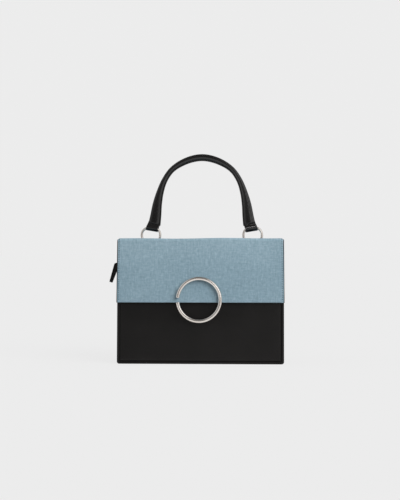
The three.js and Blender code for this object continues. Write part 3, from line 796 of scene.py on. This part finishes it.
def add_pull():
    leg, fold, angle = pull_line()
    outer = np.concatenate([leg, fold[angle > PULL_SLOT_ANGLE]])
    inner = np.concatenate([leg * (-1, 1), fold[angle < -PULL_SLOT_ANGLE / 2][::-1]])
    across = centred(2, PULL_LAYER / PULL_WIDTH, 12)

    def sheet(line, y, thickness=PULL_LAYER):
        return pad(hang(vectors(line[:, :1], y, line[:, 1:])), thickness)

    def rounded(line):
        at = np.minimum(line[:, 1:] + PULL_LENGTH, PULL_LENGTH / 2)
        return across * rounded_half(PULL_WIDTH / 2, PULL_LENGTH, PULL_CORNER, at)

    parts = [sheet(outer, rounded(outer)), sheet(inner, rounded(inner))]
    bridge = np.concatenate([fold[angle < 2 * PULL_SLOT_ANGLE], (leg * (-1, 1))[:-4:-1]])
    ear = PULL_WIDTH / 2 - TONGUE_WIDTH / 2 - GAP
    for side in (-1, 1):
        y = side * (PULL_WIDTH / 2 - PULL_EAR_INSET - edged(ear, PULL_LAYER / 4, 4)[None])
        parts.append(sheet(bridge, y, PULL_LAYER - 2 * PULL_EAR_INSET))
    parts += moved(pull_filling(), hang)
    piece("zip_pull_leather", parts, LEATHER, nodes=["zip_pull"])
    stitch_piece("zip_pull", pull_stitches(leg))


def pull_filling():
    """Core between the layers of the pull, and plugs that close its fold beside the bar."""
    low, high = (PULL_END - PULL_LAYER) / 2, PULL_FOLD - PULL_LAYER / 2
    foot = PULL_LAYER / 2 - PULL_LENGTH
    core = np.array([(-low, foot), (low, foot), (high, -BAR_WIRE), (-high, -BAR_WIRE)])
    edge = PULL_WIDTH / 2 - PULL_LAYER / 4
    plug = circle(high, 24)
    bar = BAR_LENGTH / 2 + GAP
    return [
        sweep(vectors(0, spread(start, stop, 4), 0), X_WAY, Z_WAY, section)
        for start, stop, section in ((-edge, edge, core), (bar, edge, plug), (-edge, -bar, plug))
    ]


def pull_stitches(leg):
    """Row of stitches along three sides of both faces of the pull."""
    outline = rounded_outline(PULL_WIDTH / 2 - PULL_SEAM, PULL_LENGTH - PULL_SEAM, PULL_SEAM_CORNER, 6)
    seam = outline[outline[:, 1] < PULL_SEAM_TOP]
    rows = []
    for face in (-1, 1):
        x = np.interp(seam[:, 1], leg[:, 1], leg[:, 0] * -face) + face * PULL_LAYER / 2
        path = hang(vectors(x, seam[:, 0], seam[:, 1]))
        rows.append(stitches(path, turned(face * X_WAY, 0, 2, PULL_TILT), **SMALL))
    return rows


# Flap


def valley(y):
    """Lower face of the flap between the two upper edges."""
    phase = np.minimum(1, np.abs(y) / RIM_INSIDE)
    return HEIGHT + RIM_GAP - FLAP_SAG / 2 * (1 + np.cos(math.pi * phase))


def valley_slope(y):
    inside = np.abs(y) < RIM_INSIDE
    return np.where(inside, FLAP_SAG / 2 * math.pi / RIM_INSIDE * np.sin(math.pi * y / RIM_INSIDE), 0)


def valley_top(y):
    return valley(y) + FLAP_STACK * np.hypot(1, valley_slope(y))


BAR_LEVEL = float(valley_top(0.0)) + GAP + DRING_WIRE / 2


def flap_rows(edge_in=0.0):
    """Rows of y, z, outward normal and share in the fold's wave, from inside the front edge to inside the
    back edge."""
    front, fold, dip, back = FLAP_STEPS
    ny, nz = arc(1, 180 - math.degrees(LEAN), 90, fold).T
    over = vectors(FOLD_Y + FOLD_RADIUS * ny, FOLD_Z + FOLD_RADIUS * nz, ny, nz, 1)
    foot_y, foot_z = over[0, :2]

    def hanging(edge, count):
        near = edge + edge_in + edged(FLAP_HEM, DENIM_THICK / 2, 3)[:6]
        z = np.concatenate([near, spread(near[-1], foot_z, count)[1:-1]])
        y = foot_y - (foot_z - z) * math.tan(LEAN)
        return vectors(y, z, ny[0], nz[0], smooth(z, foot_z - FLAP_BLEND, foot_z))

    y = spread(-RIM_INSIDE, RIM_INSIDE, dip)
    middle = vectors(y, valley(y), *unit(vectors(-valley_slope(y), 1)).T, 1)
    front_half = np.concatenate([hanging(FLAP_FRONT, front), over])
    back_half = np.concatenate([hanging(FLAP_BACK, back), over])
    return np.concatenate([front_half, middle, (back_half * (-1, 1, -1, 1, 1))[::-1]])


def flap_lift(across):
    """Rise of the fold across the bag: a shallow wave, and a droop over the rounded corners."""
    x = across * FLAP_TOP_HALF
    wave = FLAP_WAVE * np.sin(2 * math.pi * x / FLAP_WAVE_LENGTH) * np.cos(math.pi / 2 * across)
    past = np.maximum(0, np.abs(x) - (FLAP_TOP_HALF - FLAP_DROOP_WIDTH)) / FLAP_DROOP_WIDTH
    return wave - FLAP_DROOP * past**2


def flap_points(profile, across, rise):
    """Points at a rise above the flap's lower face. Across is signed distances in from the sides."""
    y, z, ny, nz, lift = profile.T[..., None]
    top = FOLD_Z + FOLD_RADIUS
    share = np.clip((top - z) / (top - FLAP_FRONT), 0, 1)
    half = FLAP_TOP_HALF + (FLAP_EDGE_HALF - FLAP_TOP_HALF) * share
    x = np.sign(across) * (half - np.abs(across))
    hangs = np.abs(y) >= -FOLD_Y
    crown = np.where(hangs, np.sign(y) * bulge(x, z), 0)
    lift = lift * flap_lift(x / half)
    return vectors(x, y + ny * rise + crown, z + nz * rise + lift)


def flap_sides(profile, distance, rise):
    """Lines along both sides, at a distance in from them."""
    return flap_points(profile, np.array([[-distance, distance]]), rise).swapaxes(0, 1)


def flap_columns(edge_in):
    """Signed distances in from the sides, close together near them, from the left side to the right."""
    first, stop, step = FLAP_FINE
    near = np.concatenate([edge_in + closing(DENIM_THICK / 2, 4), np.arange(edge_in + first, stop, step)])
    left = -np.concatenate([near, spread(near[-1], FLAP_TOP_HALF, FLAP_COLUMNS)[1:-1]])
    return np.concatenate([left, [-FLAP_TOP_HALF], -left[::-1]])[None]


def add_flap():
    profile = flap_rows()
    across = flap_columns(DENIM_INSET)
    denim_middle = flap_points(profile, across, FACING_THICK + GAP + DENIM_THICK / 2)
    flap = piece("flap_denim", [pad(denim_middle, DENIM_THICK)], DENIM, nodes=["flap"])
    weave_coordinates(flap, denim_middle)
    facing_middle = flap_points(flap_rows(HEM_PAINT), across, FACING_THICK / 2)
    facing_sheet = [pad(facing_middle, FACING_THICK)]
    under = piece("flap_facing_cloth", facing_sheet, FACING, nodes=["flap_facing"])
    edges = add_flap_edges()
    seams = add_flap_stitches()
    run = np.linalg.norm(np.diff(profile[:, :2], axis=0), axis=1).sum()


def weave_coordinates(flap, middle):
    """Place of the flap's points on the flat cloth, in metres, so that the weave follows the folds."""
    run = run_along(middle[:, middle.shape[1] // 2])
    cloth = vectors(middle[..., 0], run[:, None], 0)
    values = np.concatenate([cloth.reshape(-1, 3), cloth[1:-1, 1:-1].reshape(-1, 3)]) * MM
    flap.data.attributes.new("weave", "FLOAT_VECTOR", "POINT").data.foreach_set("vector", values.ravel())


def add_flap_edges():
    """Painted edge: a bead along each side, and along the front and back edges behind the denim's face."""
    profile = flap_rows()
    normal = vectors(0, profile[:, 2], profile[:, 3])
    bead = super_oval(EDGE_PAINT / 2, FLAP_STACK / 2 + EDGE_PROUD, 3, 20)
    sides = flap_sides(profile, EDGE_PAINT / 2, FLAP_STACK / 2)
    parts = [sweep(centres, X_WAY, normal, bead) for centres in sides]
    across = flap_columns(EDGE_PAINT / 2)
    tall = FLAP_STACK - DENIM_THICK / 2
    bead = super_oval(HEM_PAINT / 2, tall / 2, 3, 16)
    for end in (0, -1):
        centres = flap_points(profile[[end]], across, tall / 2)[0]
        _, ny, nz = normal[end]
        inward = -np.sign(ny) * vectors(0, nz, -ny)
        parts.append(sweep(centres + inward * HEM_PAINT / 2, inward, normal[end], bead))
    return piece("flap_edge_paint", parts, EDGE)


def add_flap_stitches():
    """Stitch lines a little way in from the sides and from the back edge."""
    profile = flap_rows(FLAP_SEAM)
    normal = vectors(0, profile[:, 2], profile[:, 3])
    sides = flap_sides(profile, FLAP_SEAM, FLAP_STACK)
    rows = [stitches(path, normal, **FLAP_STITCH) for path in sides]
    path = flap_points(profile[-1:], flap_columns(FLAP_SEAM), FLAP_STACK)[0]
    rows.append(stitches(path, normal[-1], **FLAP_STITCH))
    return piece("flap_stitches", rows, THREAD_BLUE)


def flap_front(x, z):
    """Front face of the flap on its hanging part."""
    return -(half_depth(z) + FLAP_CLEAR + FLAP_STACK / math.cos(LEAN) + bulge(x, z))


def add_ring():
    path = upright(arc(RING_RADIUS, RING_START, RING_END, 180))
    parts = [tube(path, RING_WIRE / 2, sides=32, bevel=RING_BEVEL)]
    centre = vectors(RING_X, flap_front(RING_X, RING_Z) - RING_STAND - RING_WIRE / 2, RING_Z)
    for x, z in arc(RING_RADIUS, *RING_POST_ANGLES, 1):
        reach = flap_front(RING_X + x, RING_Z + z) - centre[1] - z * math.tan(LEAN)
        line = vectors(x, spread(0, reach, 6), z)
        flare = RING_POST / 2 * (1 + POST_FLARE * smooth(spread(0, 1, 6), POST_FLARE_FROM, 1))
        parts.append(sweep(line, X_WAY, Z_WAY, flare[:, None, None] * circle(1, 20)))
    parts = moved(parts, lambda points: turned(points, 1, 2, LEAN) + centre)
    piece("front_ring_wire", parts, NICKEL, nodes=["front_ring"])


# Handle


def swing(points):
    """Points about the bars' axis, leaned back and lifted to the bars."""
    return turned(points, 1, 2, HANDLE_LEAN) + (0, 0, BAR_LEVEL)


def dring_path():
    """Closed path of a D-ring above the middle of its bar."""
    bar = DRING_HALF - DRING_CORNER
    return upright(np.concatenate([
        super_oval(DRING_HALF, DRING_ARCH, DRING_POWER, 120)[:61] + (0, DRING_RISE),
        arc(DRING_CORNER, 180, 270, 18) + (-bar, DRING_CORNER),
        vectors(spread(-bar, bar, 10)[1:-1], 0),
        arc(DRING_CORNER, 270, 360, 18) + (bar, DRING_CORNER),
    ]))


def dring_top(x):
    """Height of a D-ring's arch at a distance from its middle."""
    return DRING_RISE + DRING_ARCH * (1 - (x / DRING_HALF) ** DRING_POWER) ** (1 / DRING_POWER)


def add_dring(name, side):
    ring = tube(dring_path(), DRING_WIRE / 2, closed=True)
    parts = moved([ring], lambda points: swing(points + (side * DRING_X, 0, 0)))
    piece(name + "_wire", parts, NICKEL, "handle_set", [name])


def add_keeper(name, side):
    radius = DRING_WIRE / 2 + KEEPER_PLAY + KEEPER_THICK / 2
    y = edged(2 * (KEEPER_HALF - radius - KEEPER_RISE), KEEPER_THICK / 2, 24)[:16] - KEEPER_HALF
    rest = vectors(y, valley_top(y) + GAP + KEEPER_THICK / 2)
    arch = arc(radius, *KEEPER_ARCH, 16) + (0, BAR_LEVEL)
    line = both_sides(rest, arch)
    x = centred(KEEPER_WIDTH, KEEPER_THICK / 2, 10) + side * DRING_X
    leather_piece(name, pad(vectors(x, line[:, :1], line[:, 1:]), KEEPER_THICK))
    rows = []
    for end in (-1, 1):
        y = end * spread(KEEPER_HALF - KEEPER_SEAM, radius + KEEPER_SEAM_END, 12)
        up = vectors(0, -valley_slope(y), 1)
        for edge in (-1, 1):
            x = side * DRING_X + edge * (KEEPER_WIDTH / 2 - KEEPER_SEAM)
            rows.append(stitches(vectors(x, y, valley_top(y) + GAP + KEEPER_THICK), up, **SMALL))
    stitch_piece(name, rows)


def handle_rows():
    """Arch from one end to the other: place, rise above the bars' axis, width and depth."""
    mirrored = HANDLE_ROWS[-2::-1] * (-1, 1, 1, 1)
    rows = np.concatenate([HANDLE_ROWS, mirrored])
    run = run_along(rows[:, :2])
    slope = np.gradient(rows, run, axis=0)
    at = STRAP_START + edged(run[-1] - 2 * STRAP_START, STRAP_ROUND, HANDLE_STEPS, 8)
    index = np.clip(np.searchsorted(run, at, "right") - 1, 0, len(run) - 2)
    span = (run[index + 1] - run[index])[:, None]
    t = (at - run[index])[:, None] / span
    value = (
        (2 * t**3 - 3 * t**2 + 1) * rows[index] + (t**3 - 2 * t**2 + t) * span * slope[index]
        + (3 * t**2 - 2 * t**3) * rows[index + 1] + (t**3 - t**2) * span * slope[index + 1]
    )
    value[:, 3] += STRAP_SWELL * np.exp(-np.minimum(at - at[0], at[-1] - at) / STRAP_REACH)
    return value


def handle_section(width, depth):
    """Sections of the strap as pairs outwards and back: the lip, then the roll."""
    lip = np.concatenate([closing(LIP_ROUND, 5), spread(LIP_ROUND, LIP, 4)[1:-1]])
    roll_wide = width - LIP
    roll = LIP + roll_wide * (1 - np.cos(spread(0, math.pi, 34))) / 2
    at = np.concatenate([np.broadcast_to(lip, (len(width), len(lip))), roll], 1)
    lip_high = LIP_HALF * np.sqrt(1 - (1 - np.minimum(at / LIP_ROUND, 1)) ** 2)
    share = np.clip(2 * (at - LIP) / roll_wide - 1, -1, 1)
    roll_high = depth / 2 * (1 - np.abs(share) ** ROLL_POWER) ** (1 / ROLL_POWER)
    high = np.where(share < 0, np.maximum(lip_high, roll_high), roll_high)
    wide = at - width / 2
    return np.concatenate([vectors(wide, -high), vectors(wide, high)[:, -2:0:-1]], 1)


def add_handle():
    rows = handle_rows()
    centres = upright(rows)
    outer_way = np.cross(Y_WAY, tangents(centres))
    distance = edge_distance(centres)[:, None]
    ends = np.sqrt(1 - (1 - np.clip(distance / STRAP_ROUND, STRAP_LEAST, 1)) ** 2)
    section = handle_section(rows[:, 2:3] - STRAP_ROUND * (1 - ends), rows[:, 3:4])
    section[..., 1] *= ends
    points, quads, caps = sweep(centres, outer_way, Y_WAY, section)
    slant = STRAP_SLANT * np.exp(-distance / STRAP_REACH)
    points[:, 2] += (slant * section[..., 0]).ravel()
    strap = [(swing(points), quads, caps)]
    piece("handle_leather", strap, HANDLE_LEATHER, "handle_set", ["handle"])
    add_handle_stitches(rows, centres, outer_way)
    for name, side in (("handle_tab_left", -1), ("handle_tab_right", 1)):
        add_handle_tab(name, side)


def add_handle_stitches(rows, centres, outer_way):
    """Seam along the lip on both faces."""
    keep = rows[:, 1] > dring_top(TAB_INSET) + TAB_LEG
    path = (centres + (LIP / 2 - rows[:, 2:3] / 2) * outer_way)[keep]
    lines = [stitches(path + LIP_HALF * up, up, **FINE) for up in (-Y_WAY, Y_WAY)]
    piece("handle_stitches", moved(lines, swing), THREAD_BLACK, "handle_set")


def tab_place(points, side):
    """Points about a tab's middle on the wire, twisted to face outwards, tilted and moved to its side."""
    z = points[..., 2]
    points = turned(points, 0, 1, -side * TAB_TWIST * smooth(-z, -TAB_NECK_RISE, 0))
    points[..., 0] -= side * TAB_SHEAR * np.maximum(z, 0)
    points = turned(points, 0, 2, -side * TAB_TILT)
    return swing(points + (side * (DRING_X - TAB_INSET), 0, dring_top(TAB_INSET) - TAB_DROP[side]))


def add_handle_tab(name, side):
    """Leather tab from inside the strap's end down round the D-ring and up its back."""
    up = TAB_LEG - edged(2 * TAB_LEG, TAB_THICK / 2, 40)[:22]
    bulging = (1 + np.cos(math.pi * np.minimum(up / TAB_NECK_RISE, 1))) / 2
    front = vectors(-TAB_NECK - (TAB_RADIUS - TAB_NECK) * bulging, up)
    line = both_sides(front, arc(TAB_RADIUS, 180, 360, 32)[1:-1])
    x = centred(2, TAB_THICK / TAB_WIDTH, 12) * TAB_WIDTH / 2
    middle = tab_place(vectors(x, line[:, :1], line[:, 1:]), side)
    tab = pad(middle, TAB_THICK, TAB_THICK / 4)
    piece(name, [tab], HANDLE_LEATHER, "handle_set", ["handle"])


# Assembly

for add, *names in (
    (add_panel, "front_panel", "back_panel"),
    (add_gusset, "side_gusset_left", "side_gusset_right"),
    (add_zip_strip, "zip_strip_front", "zip_strip_back"),
):
    for name, side in zip(names, (-1, 1)):
        add(name, side)
add_base()
add_zip()
add_slider()
add_pull()
add_flap()
add_ring()
add_handle()
for word, side in (("left", -1), ("right", 1)):
    add_dring("d_ring_" + word, side)
    add_keeper("ring_keeper_" + word, side)


# Stage, light and camera

PALE = 0.84
FLOOR_TONE, FLOOR_GLOW, FLOOR_HALF, FLOOR_DROP = 0.08, 0.784, 40.0, 0.0003
CAMERA_DISTANCE, CAMERA_LEVEL, CAMERA_LENS = 1.590, 0.143, 89.0
CAMERA_AZIMUTH = math.radians(2.8)
CAMERA_AIM_X = -0.0022

# Light of the surroundings: everywhere, and from wide patches, each with its direction, the cosines of the
# angles where it begins and where it is full, and its strength. The front and the ceiling are dimmer.
AMBIENT = 0.36
PATCHES = (
    ((0.82, -0.28, 0.50), 0.70, 0.92, 0.50),
    ((-0.85, -0.25, 0.46), 0.70, 0.92, 0.45),
    ((0.615, -0.615, 0.496), 0.88, 0.975, 1.05),
    ((0.0, 0.98, 0.20), 0.30, 0.90, 0.12),
    ((0.0, 0.0, 1.0), 0.60, 0.95, -0.16),
    ((0.0, -0.99, 0.12), 0.80, 0.97, -0.20),
)
KEY_WAY, KEY_ANGLE, KEY_STRENGTH = (0.62, -0.62, 0.5), 45, 1.54

# Lamps near the bag that draw the highlights on the right side of the handle and on its right tab: place,
# target, width, height, spread of the beam in degrees, and power
LAMPS = {
    "strap_lamp": ((0.19, -0.57, 0.32), (0.064, 0.0, 0.183), 0.10, 0.50, 28, 0.0080),
    "tab_lamp": ((0.094, -0.33, 0.545), (0.064, 0.0, 0.172), 0.06, 0.08, 9, 0.0012),
}


def add_floor():
    mesh = bpy.data.meshes.new("floor")
    corners = [(-1, -1), (1, -1), (1, 1), (-1, 1)]
    points = [(FLOOR_HALF * x, FLOOR_HALF * y, -FLOOR_DROP) for x, y in corners]
    mesh.from_pydata(points, [], [(0, 1, 2, 3)])
    mesh.materials.append(Finish(
        "floor", Base_Color=(FLOOR_TONE,) * 3 + (1,), Roughness=0.9, Specular_IOR_Level=0.0,
        Emission_Color=(1, 1, 1, 1), Emission_Strength=FLOOR_GLOW,
    ).material)
    floor = new_object("floor", mesh)
    floor.visible_diffuse = False


def add_world():
    """Pale surroundings to the eye, and soft light from all round that is dim in front."""
    world = bpy.data.worlds.new("studio")
    world.use_nodes = True
    tree = world.node_tree
    tree.nodes.clear()
    node = functools.partial(add_node, tree)
    way = node("TexCoord", {}).outputs["Generated"]
    level = AMBIENT
    for direction, begin, full, strength in PATCHES:
        cosine = node("VectorMath", {0: way, 1: direction}, operation="DOT_PRODUCT").outputs["Value"]
        limits = ranges(cosine, begin, full, 0.0, strength)
        patch = node("MapRange", limits, interpolation_type="SMOOTHSTEP")
        level = node("Math", {0: level, 1: patch.outputs[0]}, operation="ADD").outputs[0]
    lit = node("Background", {"Strength": level})
    seen = node("Background", {"Color": (PALE, PALE, PALE, 1)})
    ray = node("LightPath", {}).outputs["Is Camera Ray"]
    mix = node("MixShader", {0: ray, 1: lit.outputs[0], 2: seen.outputs[0]})
    node("OutputWorld", {"Surface": mix.outputs[0]})
    bpy.context.scene.world = world


def aim(thing, place, target):
    thing.location = place
    way = np.array(target) - np.array(place)
    flat = math.hypot(way[0], way[1])
    thing.rotation_euler = (math.atan2(flat, -way[2]), 0, math.atan2(way[1], way[0]) - math.pi / 2)


def add_light(name, kind, place, target, energy, **settings):
    light = bpy.data.lights.new(name, kind)
    light.energy = energy
    for key, value in settings.items():
        setattr(light, key, value)
    made = new_object(name, light)
    aim(made, place, target)
    return made


def add_lights():
    """Soft light from one direction that gives shade without gloss, and lamps unseen by the camera."""
    key = add_light("key", "SUN", KEY_WAY, (0, 0, 0), KEY_STRENGTH, angle=math.radians(KEY_ANGLE))
    key.visible_glossy = False
    for name, (place, target, wide, tall, beam, power) in LAMPS.items():
        form = dict(shape="RECTANGLE", size=wide, size_y=tall, spread=math.radians(beam))
        lamp = add_light(name, "AREA", place, target, power, **form)
        lamp.visible_camera = False


def add_camera():
    camera = bpy.data.cameras.new("camera")
    camera.lens = CAMERA_LENS
    made = new_object("camera", camera)
    target = (CAMERA_AIM_X, 0, CAMERA_LEVEL)
    x = CAMERA_AIM_X + CAMERA_DISTANCE * math.sin(CAMERA_AZIMUTH)
    aim(made, (x, -CAMERA_DISTANCE * math.cos(CAMERA_AZIMUTH), CAMERA_LEVEL), target)
    bpy.context.scene.camera = made


add_floor()
add_world()
add_lights()
add_camera()
bpy.context.scene.view_settings.view_transform = "Standard"
